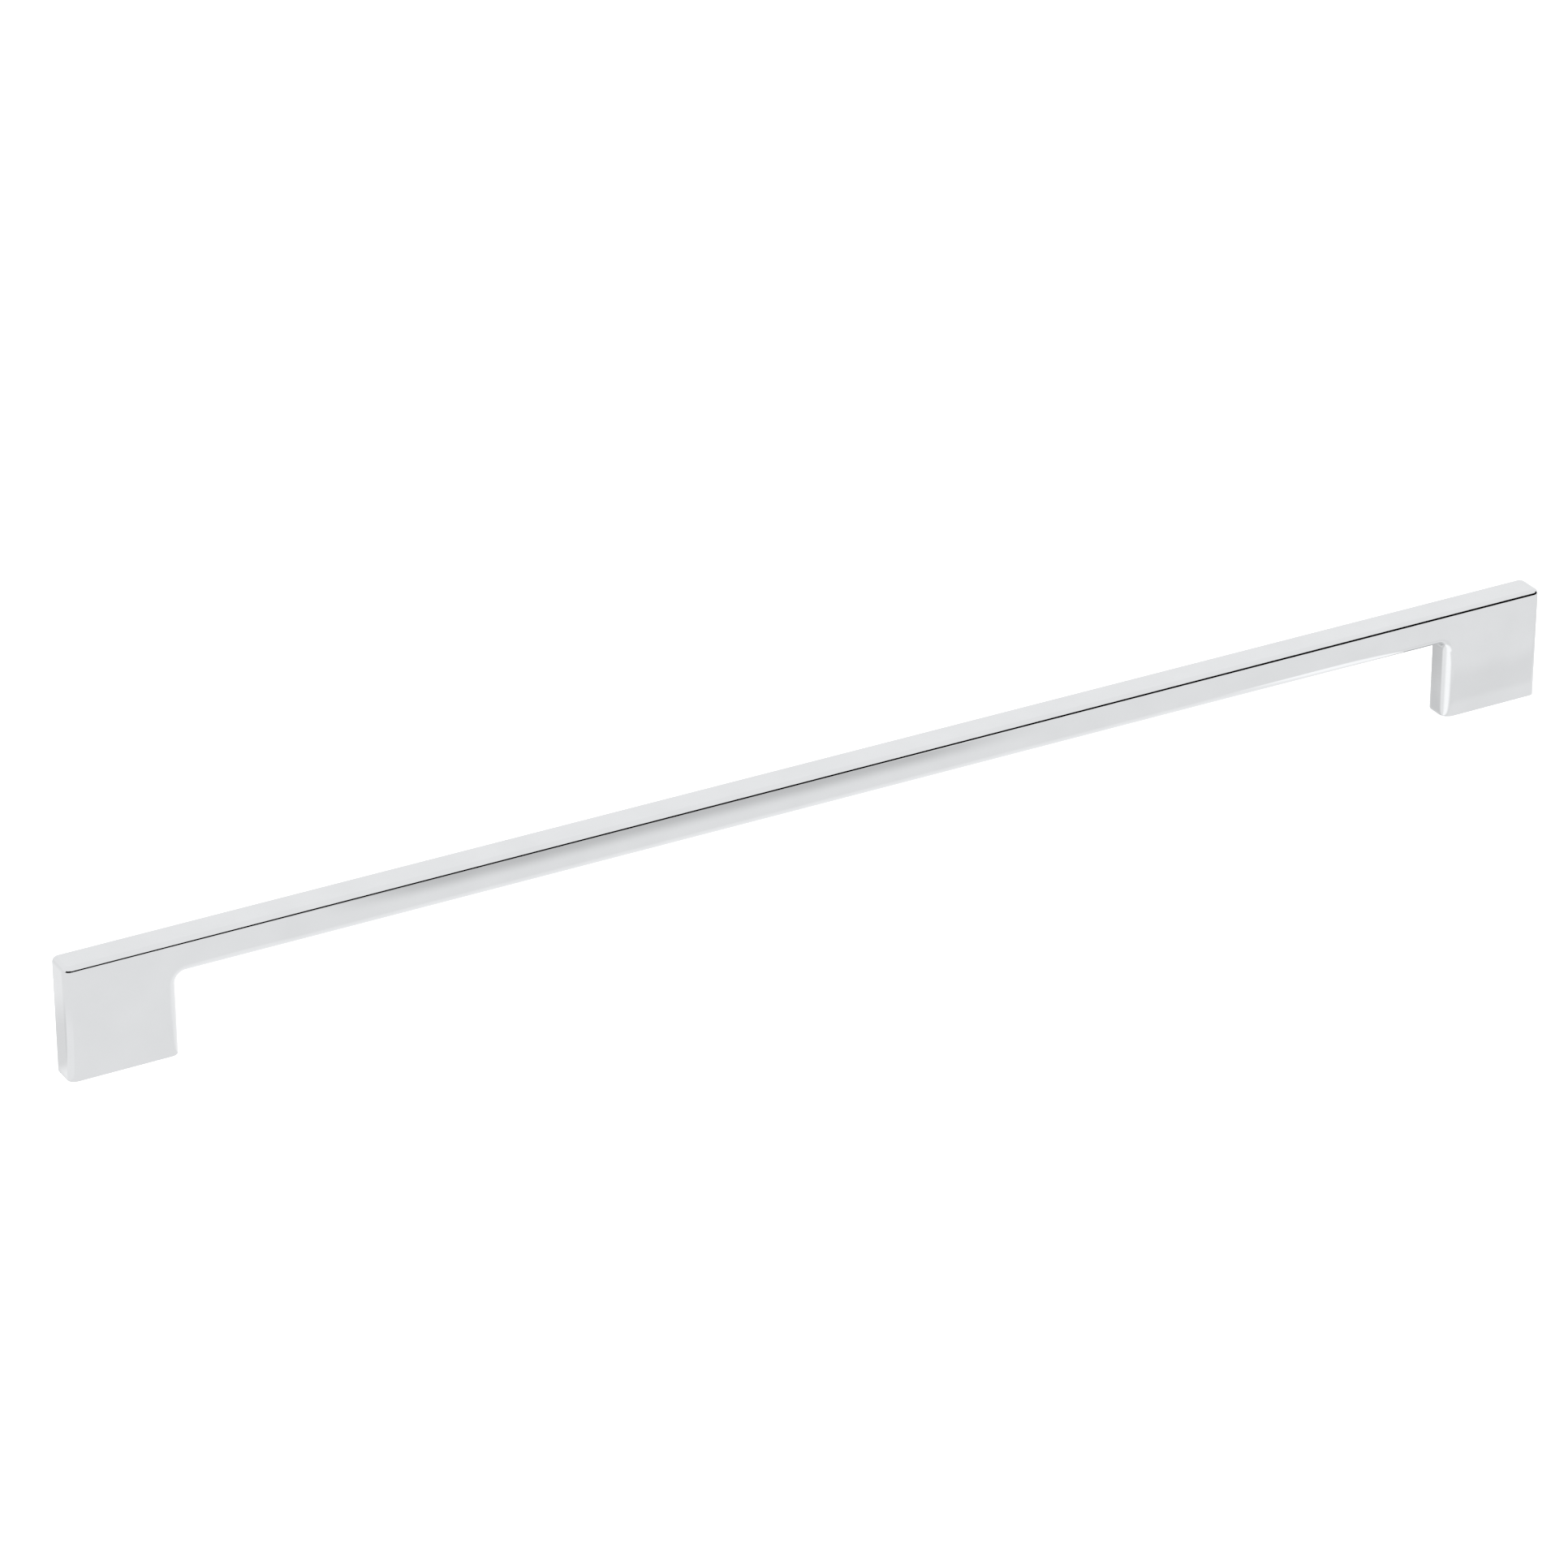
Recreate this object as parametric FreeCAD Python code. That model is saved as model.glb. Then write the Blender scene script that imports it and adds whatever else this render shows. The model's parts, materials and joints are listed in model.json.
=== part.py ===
import FreeCAD, Part
import math
import os

# Cabinet handle of the D or bridge kind: a straight bar with a block foot at each end, cast in one piece.
# It stands on its two feet. X runs along the bar, Y across it, and Z points away from the door.
# The origin lies on the plane of the two bases, midway between the two screw holes.
# All lengths are in millimetres and all angles in degrees.

# Overall form
hole_spacing = 384.0
foot_length = 28.3
projection = 30.0
bar_depth = 9.1
handle_width = 8.6

# Rounded edges
end_edge_radius = 1.9
top_edge_radius = 1.4
grip_edge_radius = 2.5
inside_corner_radius = 2.5

# Blind holes for M4 screws, at their tapping size
tapping_diameter = 3.3
hole_depth = 15.0
drill_point_angle = 118.0
mouth_chamfer = 0.4

# What follows from them
half_length = (hole_spacing + foot_length) / 2
half_width = handle_width / 2
half_gap = half_length - foot_length
gap_height = projection - bar_depth
tolerance = 1e-4


def near(value, target):
    return abs(value - target) < tolerance


def point(x, z):
    """A point of the side view, on the handle's front plane."""
    return FreeCAD.Vector(x, -half_width, z)


def inside_corner(side):
    """The quarter circle between a foot's inner face and the underside of the bar."""
    reach = inside_corner_radius
    centre_x = side * (half_gap - reach)
    centre_z = gap_height - reach
    middle = reach * math.sqrt(0.5)
    return Part.Arc(
        point(side * half_gap, centre_z),
        point(centre_x + side * middle, centre_z + middle),
        point(centre_x, gap_height),
    )


def side_outline():
    """The D seen from the side, anticlockwise from the bottom of the left foot's outer face."""
    reach = inside_corner_radius
    left_base = Part.LineSegment(point(-half_length, 0), point(-half_gap, 0))
    left_inner = Part.LineSegment(point(-half_gap, 0), point(-half_gap, gap_height - reach))
    underside = Part.LineSegment(point(reach - half_gap, gap_height), point(half_gap - reach, gap_height))
    right_inner = Part.LineSegment(point(half_gap, gap_height - reach), point(half_gap, 0))
    right_base = Part.LineSegment(point(half_gap, 0), point(half_length, 0))
    right_end = Part.LineSegment(point(half_length, 0), point(half_length, projection))
    top = Part.LineSegment(point(half_length, projection), point(-half_length, projection))
    left_end = Part.LineSegment(point(-half_length, projection), point(-half_length, 0))
    curves = [left_base, left_inner, inside_corner(-1), underside, inside_corner(1)]
    curves += [right_inner, right_base, right_end, top, left_end]
    return Part.Wire([curve.toShape() for curve in curves])


def is_end_edge(edge):
    """One of the four upright edges at the two ends of the handle."""
    box = edge.BoundBox
    upright = near(box.XLength, 0) and near(box.YLength, 0)
    return upright and near(abs(box.Center.x), half_length)


def is_top_edge(edge):
    """A straight or rounded stretch of the rim of the top face."""
    return near(edge.BoundBox.ZMin, projection)


def is_grip_edge(edge):
    """A stretch of the edges round the finger gap, from base to base, on the front or the back."""
    box = edge.BoundBox
    on_a_side = near(box.YLength, 0) and near(abs(box.Center.y), half_width)
    round_the_gap = box.XMin > -half_gap - tolerance and box.XMax < half_gap + tolerance
    below_the_bar = box.ZMax < gap_height + tolerance
    return on_a_side and round_the_gap and below_the_bar


def rounded(solid, radius, is_chosen):
    return solid.makeFillet(radius, [edge for edge in solid.Edges if is_chosen(edge)])


def casting():
    """Bar and feet in one, with their edges rounded. The rims of the two bases stay crisp."""
    blank = Part.Face(side_outline()).extrude(FreeCAD.Vector(0, handle_width, 0))
    with_ends = rounded(blank, end_edge_radius, is_end_edge)
    with_top = rounded(with_ends, top_edge_radius, is_top_edge)
    return rounded(with_top, grip_edge_radius, is_grip_edge)


def screw_hole(x):
    """The space of one hole: a chamfered mouth in the base, a straight wall and the drill's point."""
    up = FreeCAD.Vector(0, 0, 1)
    radius = tapping_diameter / 2
    mouth_radius = radius + mouth_chamfer
    point_height = radius / math.tan(math.radians(drill_point_angle / 2))
    wall = Part.makeCylinder(radius, hole_depth, FreeCAD.Vector(x, 0, 0), up)
    mouth = Part.makeCone(mouth_radius, radius, mouth_chamfer, FreeCAD.Vector(x, 0, 0), up)
    drill_point = Part.makeCone(radius, 0, point_height, FreeCAD.Vector(x, 0, hole_depth), up)
    return wall.fuse([mouth, drill_point]).removeSplitter()


def handle():
    holes = [screw_hole(side * hole_spacing / 2) for side in (-1, 1)]
    return casting().cut(holes)


os.makedirs("parts", exist_ok=True)
handle().exportStep("parts/handle.step")
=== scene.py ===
import json
import math

import bpy
from mathutils import Matrix, Vector
from mathutils.geometry import tessellate_polygon


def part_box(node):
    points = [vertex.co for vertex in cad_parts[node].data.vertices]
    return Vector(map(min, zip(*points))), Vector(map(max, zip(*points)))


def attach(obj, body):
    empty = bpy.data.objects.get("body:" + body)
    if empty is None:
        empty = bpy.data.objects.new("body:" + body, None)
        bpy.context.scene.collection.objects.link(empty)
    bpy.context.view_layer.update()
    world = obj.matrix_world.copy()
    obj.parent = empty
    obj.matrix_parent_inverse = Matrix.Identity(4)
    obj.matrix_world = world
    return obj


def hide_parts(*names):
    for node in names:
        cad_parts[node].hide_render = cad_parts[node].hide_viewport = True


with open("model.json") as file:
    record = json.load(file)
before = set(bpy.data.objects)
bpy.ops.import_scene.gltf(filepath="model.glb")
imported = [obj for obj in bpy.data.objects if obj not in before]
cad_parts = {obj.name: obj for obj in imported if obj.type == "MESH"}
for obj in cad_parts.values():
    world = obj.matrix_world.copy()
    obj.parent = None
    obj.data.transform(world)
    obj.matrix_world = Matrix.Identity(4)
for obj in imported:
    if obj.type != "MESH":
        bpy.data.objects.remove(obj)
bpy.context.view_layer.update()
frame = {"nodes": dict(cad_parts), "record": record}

# A long slim cabinet handle in polished chrome, standing on its two feet on a white floor.
# X runs along the bar, Y across it, Z up. The photograph looks at the front, which is the side towards -Y.
# All lengths are in metres, and angles in degrees.

# How finely the round forms are cut: a quarter turn of an edge, and a whole turn of a hole
EDGE_STEPS = 10
HOLE_STEPS = 40

# The screw thread in the feet, and the hole that it is cut in
THREAD_PITCH = 0.0007
THREAD_MAJOR_RADIUS = 0.002
THREAD_FLANK_ANGLE = 30
THREAD_END = 0.0125
MOUTH_CHAMFER = 0.0004
DRILL_POINT_ANGLE = 118

# The view of the photograph, and where the origin lies in the picture, from its centre
VIEW_AZIMUTH = 29.15
VIEW_ELEVATION = 27.28
VIEW_ROLL = 0.12
CAMERA_DISTANCE = 1.640
CAMERA_LENS = 153.15
SENSOR_WIDTH = 36
ORIGIN_RIGHT = 0.01234
ORIGIN_DOWN = 0.02140

# Light, where 1 is just white in the picture. The sky goes from its one level to the other as a direction's
# height, the sine of its elevation, goes from the first to the second of SKY_RISE.
COOL = (0.994, 0.999, 1.003, 1)
BLACK = (0, 0, 0, 1)
HORIZON_LEVEL = 1.20
SKY_LEVEL = 1.31
SKY_RISE = (0.02, 0.34)

# The camera's floor, and the one that only the metal shows, just under it
FLOOR_REACH = 12.0
FLOOR_WHITE = 0.86
FLOOR_GLOW = 0.35
MIRRORED_FLOOR_HEIGHT = -0.0001

# How bright the mirrored floor is: in front of the handle, just before the right foot, behind the handle,
# beside the left end and under the gap
FRONT_LEVEL = 1.25
LOW_LEVEL = 1.18
BACK_LEVEL = 1.06
BESIDE_LEVEL = 1.31
GAP_LEVEL = 1.36

# Its levels round the right foot's inner face, from the back to the front, and in front of the bar's middle
CLOSE_SHADE_LEVEL = 0.96
SHADE_LEVEL = 0.83
RISE_LEVEL = 1.33
POOL_LEVEL = 1.64
MIDDLE_LEVEL = 0.87

# Its dark far part in front
FAR_LEVEL = 0.0
FAR_START = -0.19
FAR_END = -0.22

# The width of a sharp border on it, and how far in front of a foot's middle line a fan's centre lies
BORDER = 0.001
FAN_FORWARD = 0.003

# The dark screen far off that the top edge mirrors, with its height in degrees at some azimuths
SCREEN_DISTANCE = 3.0
SCREEN_SKYLINE = ((-155, 26.0), (-90, 26.0), (-75, 16.8), (-50, 27.2), (-5, 31.0))
SCREEN_STEP = 5

# What counts as square to a direction, as on an axis, as a wall or side with no height, and as one point
SQUARE = 0.9999
ON_AXIS = 1e-5
NO_WALL = 1e-7
NO_SIDE = 1e-8
POINTS_PER_METRE = 1e7

UP = Vector((0, 0, 1))
MM_PER_METRE = 1000


# Sizes, read from the flat faces of the CAD node and from the record

def flat_faces(direction):
    """The flat faces that look this way, each as its lowest and highest corner, in their order along it."""
    mesh = frame["nodes"]["handle"].data
    direction = Vector(direction)
    levels = {}
    for polygon in mesh.polygons:
        if polygon.normal.dot(direction) > SQUARE:
            level = round(polygon.center.dot(direction), 5)
            levels.setdefault(level, []).extend(mesh.vertices[i].co for i in polygon.vertices)
    faces = []
    for level in sorted(levels):
        lowest = Vector([min(p[axis] for p in levels[level]) for axis in range(3)])
        highest = Vector([max(p[axis] for p in levels[level]) for axis in range(3)])
        faces.append((lowest, highest))
    return faces


# The right foot's inner face and the bar's underside come before the left end and the bases
HALF_LENGTH, HALF_WIDTH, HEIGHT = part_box("handle")[1]
top_face = flat_faces((0, 0, 1))[-1]
end_face = flat_faces((1, 0, 0))[-1]
inner_face = flat_faces((-1, 0, 0))[0]
underside = flat_faces((0, 0, -1))[0]

HALF_GAP = inner_face[0].x
GAP_HEIGHT = underside[0].z
TOP_RADIUS = HALF_WIDTH - top_face[1].y
END_RADIUS = HALF_WIDTH - end_face[1].y
GRIP_RADIUS = HALF_WIDTH - inner_face[1].y
CORNER_RADIUS = GAP_HEIGHT - inner_face[1].z

screw_holes = next(mount for mount in frame["record"]["mounts"] if mount["name"] == "screw_holes")
HOLE_X = screw_holes["dims"]["spacing_x_mm"] / 2 / MM_PER_METRE
HOLE_RADIUS = screw_holes["dims"]["hole_r_mm"] / MM_PER_METRE
node_points = [vertex.co for vertex in frame["nodes"]["handle"].data.vertices]
DRILL_TIP = max(p.z for p in node_points if math.hypot(abs(p.x) - HOLE_X, p.y) < ON_AXIS)
HOLE_DEPTH = DRILL_TIP - HOLE_RADIUS / math.tan(math.radians(DRILL_POINT_ANGLE / 2))


# The handle's mesh, patch by patch, with the true normal at each corner

class Skin:
    """Faces that share the vertices where they meet, each corner with a normal of its own."""

    def __init__(self):
        self.points = []
        self.numbers = {}
        self.faces = []
        self.normals = []
        self.finishes = []

    def number(self, point):
        key = tuple(round(value * POINTS_PER_METRE) for value in point)
        if key not in self.numbers:
            self.numbers[key] = len(self.points)
            self.points.append(Vector(point))
        return self.numbers[key]

    def add(self, corners, finish):
        """One face. Corners are (point, normal) pairs in either order round it, and may coincide."""
        numbered = [(self.number(point), Vector(normal).normalized()) for point, normal in corners]
        kept = [c for i, c in enumerate(numbered) if c[0] != numbered[i - 1][0]]
        if len({c[0] for c in kept}) < 3:
            return
        outward = sum((c[1] for c in kept), Vector())
        around = Vector()
        for i, corner in enumerate(kept):
            around += self.points[kept[i - 1][0]].cross(self.points[corner[0]])
        if around.dot(outward) < 0:
            kept.reverse()
        self.faces.append([c[0] for c in kept])
        self.normals.extend(c[1] for c in kept)
        self.finishes.append(finish)

    def add_grid(self, rows, finish):
        for row, following in zip(rows, rows[1:]):
            for i in range(len(row) - 1):
                self.add([row[i], row[i + 1], following[i + 1], following[i]], finish)

    def mesh(self, name):
        made = bpy.data.meshes.new(name)
        made.from_pydata(self.points, [], self.faces)
        made.polygons.foreach_set("material_index", self.finishes)
        made.polygons.foreach_set("use_smooth", [True] * len(self.faces))
        made.normals_split_custom_set(self.normals)
        made.update()
        return made


POLISHED, BASE, BORE = range(3)


def quarter(step):
    """The cosine and sine of one step of a quarter turn."""
    angle = math.radians(90) * step / EDGE_STEPS
    return math.cos(angle), math.sin(angle)


def plan_corner(end, side):
    """The rounded upright edge at one end and side: plan points with their outward directions, end first."""
    centre = Vector((end * (HALF_LENGTH - END_RADIUS), side * (HALF_WIDTH - END_RADIUS), 0))
    out = [Vector((end * cosine, side * sine, 0)) for cosine, sine in map(quarter, range(EDGE_STEPS + 1))]
    return [(centre + END_RADIUS * direction, direction) for direction in out]


def gap_line():
    """The outline of the finger gap from the right base to the left one, with directions into the metal."""
    line = [(Vector((HALF_GAP, 0, 0)), Vector((1, 0, 0)))]
    for end in (1, -1):
        centre = Vector((end * (HALF_GAP - CORNER_RADIUS), 0, GAP_HEIGHT - CORNER_RADIUS))
        into = [Vector((end * cosine, 0, sine)) for cosine, sine in map(quarter, range(EDGE_STEPS + 1))]
        corner = [(centre + CORNER_RADIUS * direction, direction) for direction in into]
        line += corner if end > 0 else corner[::-1]
    line.append((Vector((-HALF_GAP, 0, 0)), Vector((-1, 0, 0))))
    return line


def grip_rounding(station, side):
    """The rounded edge beside the gap at one place along it: points from the gap's wall to the flat side."""
    point, into = station
    across = Vector((0, side, 0))
    start = point + across * (HALF_WIDTH - GRIP_RADIUS)
    rounding = []
    for cosine, sine in map(quarter, range(EDGE_STEPS + 1)):
        place = start + GRIP_RADIUS * ((1 - cosine) * into + sine * across)
        rounding.append((place, sine * across - cosine * into))
    return rounding


def add_top(skin):
    """The top face, the rounding round it, and the walls of the two ends."""
    plan = []
    for end, side in ((1, -1), (1, 1), (-1, 1), (-1, -1)):
        corner = plan_corner(end, side)
        plan += corner if end * side > 0 else corner[::-1]
    plan.append(plan[0])
    rings = []
    for cosine, sine in map(quarter, range(EDGE_STEPS + 1)):
        rise = UP * (HEIGHT - TOP_RADIUS + TOP_RADIUS * sine)
        inset = TOP_RADIUS * (1 - cosine)
        rings.append([(p - inset * out + rise, cosine * out + sine * UP) for p, out in plan])
    skin.add_grid(rings, POLISHED)
    skin.add([(point, UP) for point, _ in rings[-1][:-1]], POLISHED)
    for end in (1, -1):
        foot = plan_corner(end, -1)[::-1] + plan_corner(end, 1)
        shoulder = [(p + UP * (HEIGHT - TOP_RADIUS), out) for p, out in foot]
        skin.add_grid([foot, shoulder], POLISHED)


def add_gap(skin):
    """The walls of the finger gap, its rounded edges, and the flat front and back of the handle."""
    line = gap_line()
    wall = []
    for side in (-1, 1):
        across = Vector((0, side * (HALF_WIDTH - GRIP_RADIUS), 0))
        wall.append([(p + across, -into) for p, into in line])
    skin.add_grid(wall, POLISHED)
    corner_x = HALF_LENGTH - END_RADIUS
    shoulder = HEIGHT - TOP_RADIUS
    for side in (-1, 1):
        roundings = [grip_rounding(station, side) for station in line]
        skin.add_grid(roundings, POLISHED)
        corners = ((-corner_x, 0), (-corner_x, shoulder), (corner_x, shoulder), (corner_x, 0))
        outline = [Vector((x, side * HALF_WIDTH, z)) for x, z in corners]
        outline += [rounding[-1][0] for rounding in roundings]
        across = Vector((0, side, 0))
        skin.add([(point, across) for point in outline], POLISHED)


def thread_line(angle):
    """A screw hole's wall along one upright line: radii and heights from the mouth to the drill's point."""
    depth = THREAD_MAJOR_RADIUS - HOLE_RADIUS
    flank = depth * math.tan(math.radians(THREAD_FLANK_ANGLE))
    crest = THREAD_PITCH / 4
    steps = ((0, 0), (crest, 0), (crest + flank, depth), (THREAD_PITCH - flank, depth))
    lead = THREAD_PITCH * angle / math.tau
    line = [(HOLE_RADIUS + MOUTH_CHAMFER, 0)]
    for turn in range(-1, math.ceil(THREAD_END / THREAD_PITCH)):
        for rise, cut in steps:
            height = turn * THREAD_PITCH + lead + rise
            if height <= 0:
                line.append((HOLE_RADIUS + MOUTH_CHAMFER, 0))
            elif height >= THREAD_END:
                line.append((HOLE_RADIUS, THREAD_END))
            else:
                line.append((max(HOLE_RADIUS + cut, HOLE_RADIUS + MOUTH_CHAMFER - height), height))
    line += [(HOLE_RADIUS, THREAD_END), (HOLE_RADIUS, HOLE_DEPTH), (0, DRILL_TIP)]
    return line


def bore_normal(out, station, following):
    """Square to the wall between two stations of one line, and as long as the wall there."""
    return (following[0] - station[0]) * UP - (following[1] - station[1]) * out


def add_bore(skin, centre, angles):
    """The threaded wall of one hole and its drill point, line by line round it."""
    lines = []
    for angle in angles:
        out = Vector((math.cos(angle), math.sin(angle), 0))
        stations = thread_line(angle)
        points = [centre + radius * out + UP * height for radius, height in stations]
        normals = [bore_normal(out, *pair) for pair in zip(stations, stations[1:])]
        lines.append((points, normals))
    for (points, normals), (next_points, next_normals) in zip(lines, lines[1:]):
        for i, pair in enumerate(zip(normals, next_normals)):
            if pair[0].length + pair[1].length < NO_WALL:
                continue
            first, second = [side if side.length > NO_SIDE else pair[0] + pair[1] for side in pair]
            corners = [(points[i], first), (points[i + 1], first)]
            corners += [(next_points[i + 1], second), (next_points[i], second)]
            skin.add(corners, BORE)


def add_base(skin, end):
    """The flat base of one foot round its screw hole, and the hole."""
    centre = Vector((end * HOLE_X, 0, 0))
    outer = [point for point, _ in plan_corner(end, -1)[::-1] + plan_corner(end, 1)]
    station = (Vector((end * HALF_GAP, 0, 0)), Vector((end, 0, 0)))
    inner = [[point for point, _ in grip_rounding(station, side)] for side in (1, -1)]
    rim = outer + inner[0][::-1] + inner[1]
    angles = [math.tau * i / HOLE_STEPS for i in range(HOLE_STEPS + 1)]
    mouth_radius = HOLE_RADIUS + MOUTH_CHAMFER
    mouth = [centre + mouth_radius * Vector((math.cos(a), math.sin(a), 0)) for a in angles[:-1]]
    corners = rim + mouth
    for triangle in tessellate_polygon([rim, mouth]):
        skin.add([(corners[i], -UP) for i in triangle], BASE)
    add_bore(skin, centre, angles)


def new_object(name, data):
    """An object in the scene."""
    made = bpy.data.objects.new(name, data)
    bpy.context.scene.collection.objects.link(made)
    return made


def make_handle():
    skin = Skin()
    add_top(skin)
    add_gap(skin)
    for end in (1, -1):
        add_base(skin, end)
    return new_object("chrome_handle", skin.mesh("chrome_handle"))


# Materials

class Nodes:
    """A small helper for writing node trees one node at a time. A value is a number, a tuple or a socket."""

    def __init__(self, tree):
        tree.nodes.clear()
        self.tree = tree

    def feed(self, socket, value):
        """Link a socket to another, or set its value."""
        if isinstance(value, bpy.types.NodeSocket):
            self.tree.links.new(value, socket)
        else:
            socket.default_value = value

    def add(self, kind, settings=None, **inputs):
        node = self.tree.nodes.new(kind)
        for name, value in (settings or {}).items():
            setattr(node, name, value)
        for name, value in inputs.items():
            self.feed(node.inputs[name.replace("_", " ")], value)
        return node

    def place(self):
        return self.add("ShaderNodeTexCoord").outputs["Object"]

    def ramp(self, factor, low, high, start=0.0, end=1.0):
        node = self.add("ShaderNodeValToRGB", Fac=factor)
        node.color_ramp.elements[0].position = start
        node.color_ramp.elements[0].color = (*low, 1)
        node.color_ramp.elements[1].position = end
        node.color_ramp.elements[1].color = (*high, 1)
        return node.outputs["Color"]

    def noise(self, vector, scale, detail):
        return self.add("ShaderNodeTexNoise", Vector=vector, Scale=scale, Detail=detail).outputs["Fac"]

    def stretched(self, vector, scale):
        return self.add("ShaderNodeMapping", Vector=vector, Scale=scale).outputs["Vector"]

    def between(self, factor, low, high):
        return self.add("ShaderNodeMapRange", Value=factor, To_Min=low, To_Max=high).outputs["Result"]

    def fade(self, value, start, end, low=0.0, high=1.0):
        """Low before the start and high past the end, also where the end is the smaller."""
        node = self.add(
            "ShaderNodeMapRange", {"interpolation_type": "SMOOTHSTEP"},
            Value=value, From_Min=start, From_Max=end, To_Min=low, To_Max=high,
        )
        return node.outputs["Result"]

    def layered(self, level, layers):
        """A level with others laid over it in turn, each as far as its mask from 0 to 1 lets it show."""
        for over, mask in layers:
            level = self.between(mask, level, over)
        return level

    def worked_out(self, operation, *values, kind="ShaderNodeMath"):
        """What a maths node makes of some values, given in the order of its sockets."""
        node = self.add(kind, {"operation": operation})
        for socket, value in zip(node.inputs, values):
            self.feed(socket, value)
        return node.outputs["Value"]

    def product(self, *factors):
        result = factors[0]
        for factor in factors[1:]:
            result = self.worked_out("MULTIPLY", result, factor)
        return result

    def distance(self, place, centre):
        return self.worked_out("DISTANCE", place, (*centre, 0), kind="ShaderNodeVectorMath")

    def angle_round(self, place, centre, start):
        """Degrees round a point of the floor: from +Y over -X where start is 1, from -Y over +X where -1."""
        moved = self.add(
            "ShaderNodeMapping", Vector=place,
            Scale=(-start, start, 1), Location=(start * centre[0], -start * centre[1], 0),
        )
        parts = self.add("ShaderNodeSeparateXYZ", Vector=moved.outputs["Vector"])
        radians = self.worked_out("ARCTAN2", parts.outputs["X"], parts.outputs["Y"])
        return self.worked_out("DEGREES", radians)


def new_material(name):
    """A material, and the helper that fills its empty node tree."""
    material = bpy.data.materials.new(name)
    material.use_nodes = True
    return material, Nodes(material.node_tree)


def metal(name, tint, deeper_tint, smooth, rough, wave_height, wave_scale, grain_height, grain_scale):
    """A metal whose colour, gloss and surface vary a little, with long waves and a fine grain."""
    material, nodes = new_material(name)
    place = nodes.place()
    haze = nodes.noise(place, scale=90, detail=4)
    waves = nodes.noise(place, scale=wave_scale, detail=1)
    grain = nodes.noise(nodes.stretched(place, grain_scale), scale=1, detail=3)
    long_bump = nodes.add("ShaderNodeBump", Height=waves, Distance=wave_height, Strength=1.0)
    bump = nodes.add(
        "ShaderNodeBump",
        Height=grain,
        Distance=grain_height,
        Strength=1.0,
        Normal=long_bump.outputs["Normal"],
    )
    shader = nodes.add(
        "ShaderNodeBsdfPrincipled",
        Metallic=1.0,
        Base_Color=nodes.ramp(haze, deeper_tint, tint, start=0.3, end=0.7),
        Roughness=nodes.between(haze, smooth, rough),
        Normal=bump.outputs["Normal"],
    )
    nodes.add("ShaderNodeOutputMaterial", Surface=shader.outputs["BSDF"])
    return material


def handle_materials():
    """The metals of the polished faces, the bases and the holes, in the order of their numbers."""
    polished = metal(
        "polished_chrome",
        tint=(0.585, 0.590, 0.597), deeper_tint=(0.566, 0.571, 0.578), smooth=0.02, rough=0.07,
        wave_height=2e-6, wave_scale=70, grain_height=1.5e-8, grain_scale=(300, 9000, 9000),
    )
    base = metal(
        "plated_base",
        tint=(0.540, 0.545, 0.555), deeper_tint=(0.470, 0.475, 0.485), smooth=0.22, rough=0.34,
        wave_height=6e-6, wave_scale=300, grain_height=3e-7, grain_scale=(2500, 2500, 2500),
    )
    bore = metal(
        "cut_zinc",
        tint=(0.560, 0.560, 0.570), deeper_tint=(0.430, 0.430, 0.445), smooth=0.30, rough=0.48,
        wave_height=4e-6, wave_scale=600, grain_height=5e-7, grain_scale=(1500, 1500, 9000),
    )
    return [polished, base, bore]


# The studio. The metal mirrors a floor of its own, because the camera's floor is white all over.

def stage_piece(name, material_name, points, faces):
    """A plain mesh of the studio, and the helper that fills its material's node tree."""
    mesh = bpy.data.meshes.new(name)
    mesh.from_pydata(points, [], faces)
    material, nodes = new_material(material_name)
    mesh.materials.append(material)
    return new_object(name, mesh), nodes


def square(name, material_name, height):
    corners = [(x * FLOOR_REACH, y * FLOOR_REACH, height) for x, y in ((-1, -1), (1, -1), (1, 1), (-1, 1))]
    return stage_piece(name, material_name, corners, [(0, 1, 2, 3)])


def glow(nodes, color, strength):
    light = nodes.add("ShaderNodeEmission", Color=color, Strength=strength)
    nodes.add("ShaderNodeOutputMaterial", Surface=light.outputs["Emission"])


def only_mirrored(made):
    """Leave a piece of the studio where the metal mirrors it, and nowhere else."""
    made.visible_camera = False
    made.visible_diffuse = False
    made.visible_transmission = False
    made.visible_shadow = False


def make_floor():
    """The white floor that the camera shows, with the handle's faint shade on it."""
    floor, nodes = square("floor", "white_floor", 0)
    paper = nodes.noise(nodes.place(), scale=900, detail=2)
    bump = nodes.add("ShaderNodeBump", Height=paper, Distance=2e-5, Strength=0.3)
    white = (FLOOR_WHITE, FLOOR_WHITE, FLOOR_WHITE, 1)
    shader = nodes.add(
        "ShaderNodeBsdfPrincipled",
        Base_Color=white,
        Roughness=0.9,
        Specular_IOR_Level=0.2,
        Emission_Color=white,
        Emission_Strength=FLOOR_GLOW,
        Normal=bump.outputs["Normal"],
    )
    nodes.add("ShaderNodeOutputMaterial", Surface=shader.outputs["BSDF"])
    floor.visible_glossy = False


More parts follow.
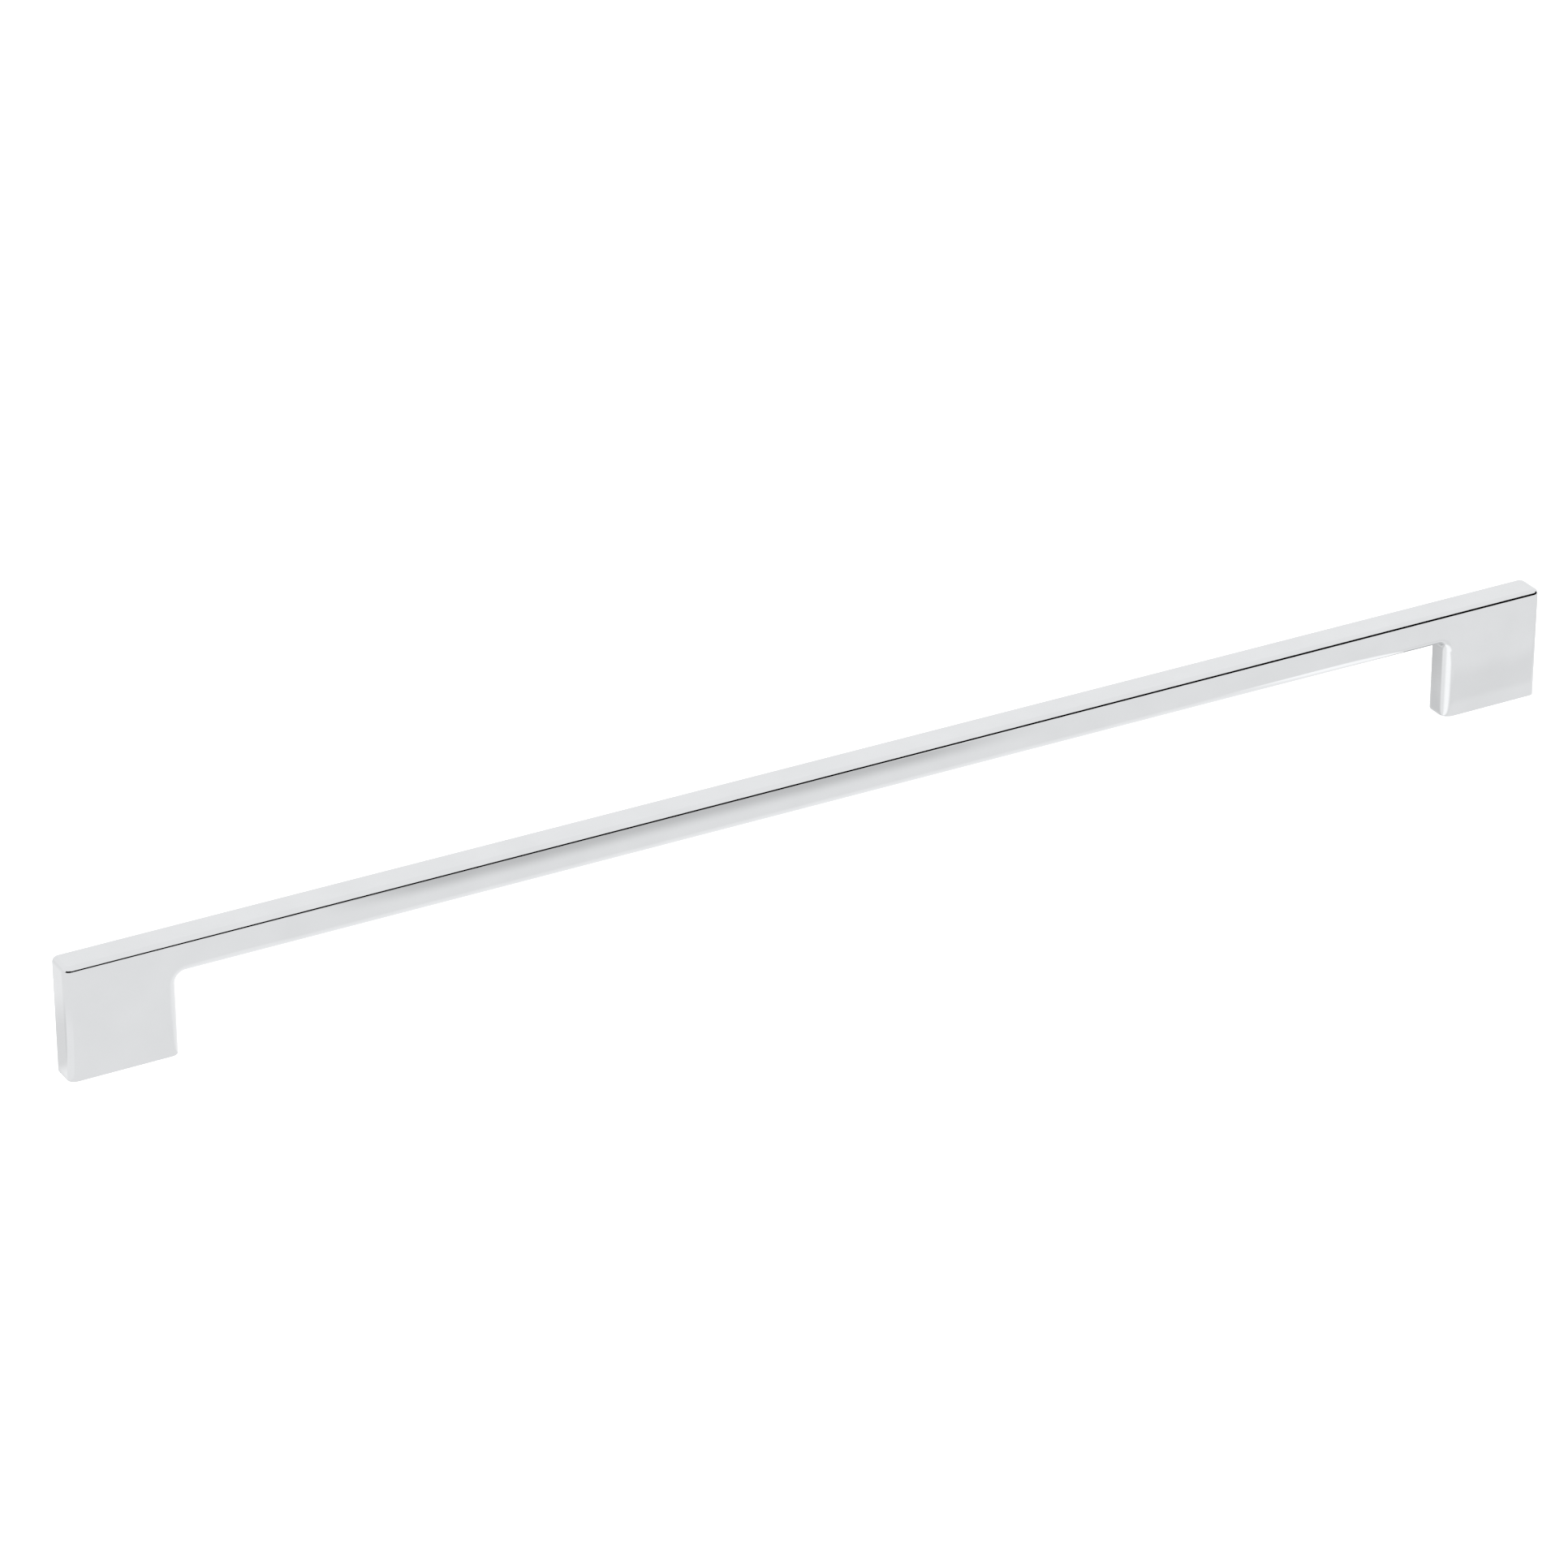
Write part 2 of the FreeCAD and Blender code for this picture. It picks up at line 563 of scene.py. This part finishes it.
def floor_patches(nodes, place):
    """What lies over the mirrored floor's front level: levels, each with the mask that it shows through."""
    parts = nodes.add("ShaderNodeSeparateXYZ", Vector=place)
    x, y = parts.outputs["X"], parts.outputs["Y"]
    fade, product = nodes.fade, nodes.product

    # Each fade is 0 at the first place and 1 at the second. First come sharp borders under the handle's own
    # edges, and how far to the front the pool and the fan reach.
    past_left_end = fade(x, -HALF_LENGTH, -HALF_LENGTH - BORDER)
    past_left_foot = fade(x, -HALF_GAP - BORDER, -HALF_GAP)
    before_right_foot = fade(x, HALF_GAP + BORDER, HALF_GAP - BORDER)
    past_inner_face = fade(x, HALF_GAP, HALF_GAP + BORDER)
    close_by = fade(y, -0.040, -0.032)

    # What lies straight in front, behind, beside the left end and under the gap
    low_strip = product(
        fade(x, HALF_GAP - 0.010, HALF_GAP),
        fade(y, -0.030, -0.020),
        fade(y, -0.009, -0.013),
    )
    behind = fade(y, -0.002, 0.006)
    beside = product(past_left_end, fade(y, 0.006, 0.0))
    off_left_end = nodes.distance(place, (-HALF_LENGTH, 0))
    beyond_beside = product(past_left_end, fade(off_left_end, 0.022, 0.042))
    under_gap = product(
        fade(x, -0.174, -0.158),
        before_right_foot,
        fade(y, -0.034, -0.014),
        fade(y, 0.055, 0.030),
    )

    # A bright pool beside the left foot, whose edge runs outwards from the foot's inner face
    angle = nodes.angle_round(place, (-HALF_GAP, -FAN_FORWARD), start=-1)
    left_pool = product(
        fade(angle, 30, 62),
        fade(x, 0.045 - HALF_GAP, 0.030 - HALF_GAP),
        close_by,
        past_left_foot,
    )

    # The levels beside the right foot open round its inner face like a fan, from the shade behind it
    off_right_foot = nodes.distance(place, (HALF_GAP, 0))
    shade = nodes.fade(off_right_foot, 0.012, 0.034, CLOSE_SHADE_LEVEL, SHADE_LEVEL)
    angle = nodes.angle_round(place, (HALF_GAP, -FAN_FORWARD), start=1)
    risen = nodes.fade(angle, 24, 60)
    in_pool = nodes.fade(angle, 86, 122)
    past_pool = nodes.fade(angle, 152, 182)
    fan = nodes.layered(shade, ((RISE_LEVEL, risen), (POOL_LEVEL, in_pool), (FRONT_LEVEL, past_pool)))
    beside_right_foot = product(fade(x, 0.125, 0.150), before_right_foot, close_by)
    behind_right_foot = product(
        past_inner_face,
        fade(x, HALF_GAP + 0.020, HALF_GAP + 0.012),
        fade(y, 0.002, 0.006),
    )

    # The shade that darkens the upper half of the bar's middle
    before_middle = product(
        fade(x, -0.124, -0.084),
        fade(x, 0.090, 0.045),
        fade(y, -0.0465, -0.0525),
    )
    return (
        (LOW_LEVEL, low_strip),
        (BACK_LEVEL, behind),
        (BESIDE_LEVEL, beside),
        (FRONT_LEVEL, beyond_beside),
        (GAP_LEVEL, under_gap),
        (GAP_LEVEL, left_pool),
        (fan, beside_right_foot),
        (shade, behind_right_foot),
        (MIDDLE_LEVEL, before_middle),
        (FAR_LEVEL, fade(y, FAR_START, FAR_END)),
    )


def make_mirrored_floor():
    """The floor that the metal shows: bright under the gap, darker by the right foot, behind and far off."""
    floor, nodes = square("mirrored_floor", "mirrored_floor", MIRRORED_FLOOR_HEIGHT)
    glow(nodes, COOL, nodes.layered(FRONT_LEVEL, floor_patches(nodes, nodes.place())))
    only_mirrored(floor)


def make_sky():
    """White surroundings that turn a little greyer towards the horizon."""
    world = bpy.data.worlds.new("white_studio")
    bpy.context.scene.world = world
    world.use_nodes = True
    nodes = Nodes(world.node_tree)
    direction = nodes.add("ShaderNodeTexCoord").outputs["Generated"]
    height = nodes.add("ShaderNodeSeparateXYZ", Vector=direction).outputs["Z"]
    level = nodes.fade(height, *SKY_RISE, HORIZON_LEVEL, SKY_LEVEL)
    light = nodes.add("ShaderNodeBackground", Color=COOL, Strength=level)
    nodes.add("ShaderNodeOutputWorld", Surface=light.outputs["Background"])


def skyline(azimuth):
    """How many degrees high the dark screen stands at one azimuth."""
    for (first, start), (last, end) in zip(SCREEN_SKYLINE, SCREEN_SKYLINE[1:]):
        if azimuth <= last:
            return start + (end - start) * (azimuth - first) / (last - first)


def make_dark_screen():
    """A black screen round the front of the studio, which draws the dark line along the top edge."""
    points = []
    for azimuth in range(SCREEN_SKYLINE[0][0], SCREEN_SKYLINE[-1][0] + 1, SCREEN_STEP):
        turn = math.radians(azimuth)
        foot = SCREEN_DISTANCE * Vector((math.cos(turn), math.sin(turn), 0))
        points += [foot, foot + UP * SCREEN_DISTANCE * math.tan(math.radians(skyline(azimuth)))]
    faces = [(i, i + 2, i + 3, i + 1) for i in range(0, len(points) - 2, 2)]
    screen, nodes = stage_piece("dark_screen", "dark_screen", points, faces)
    glow(nodes, BLACK, 0.0)
    only_mirrored(screen)


def make_soft_light(name, azimuth, elevation, distance, size, power):
    """A square soft light that points at the handle, and that the metal doesn't mirror."""
    light = bpy.data.lights.new(name, "AREA")
    light.shape = "SQUARE"
    light.size = size
    light.energy = power
    lamp = new_object(name, light)
    turn, rise = math.radians(azimuth), math.radians(elevation)
    outward = Vector((math.cos(turn) * math.cos(rise), math.sin(turn) * math.cos(rise), math.sin(rise)))
    lamp.location = outward * distance
    lamp.visible_glossy = False
    lamp.rotation_mode = "QUATERNION"
    lamp.rotation_quaternion = outward.to_track_quat("Z", "Y")


def make_camera():
    """Looks along +Y turned towards +X by the azimuth, and down by the elevation."""
    turn, dip, roll = map(math.radians, (VIEW_AZIMUTH, VIEW_ELEVATION, VIEW_ROLL))
    level_right = Vector((math.cos(turn), -math.sin(turn), 0))
    forward = Vector((math.sin(turn) * math.cos(dip), math.cos(turn) * math.cos(dip), -math.sin(dip)))
    level_up = level_right.cross(forward)
    right = math.cos(roll) * level_right - math.sin(roll) * level_up
    up = math.sin(roll) * level_right + math.cos(roll) * level_up
    camera_data = bpy.data.cameras.new("camera")
    camera_data.lens = CAMERA_LENS
    camera_data.sensor_width = SENSOR_WIDTH
    camera_data.clip_end = 100
    camera = new_object("camera", camera_data)
    location = ORIGIN_DOWN * up - ORIGIN_RIGHT * right - CAMERA_DISTANCE * forward
    facing = Matrix((right, up, -forward)).transposed().to_4x4()
    camera.matrix_world = Matrix.Translation(location) @ facing
    bpy.context.scene.camera = camera


handle = make_handle()
for material in handle_materials():
    handle.data.materials.append(material)
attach(handle, "root")
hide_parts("handle")

make_floor()
make_mirrored_floor()
make_sky()
make_dark_screen()
make_soft_light("key", azimuth=-30, elevation=48, distance=1.7, size=1.0, power=14)
make_camera()
bpy.context.scene.view_settings.view_transform = "Standard"
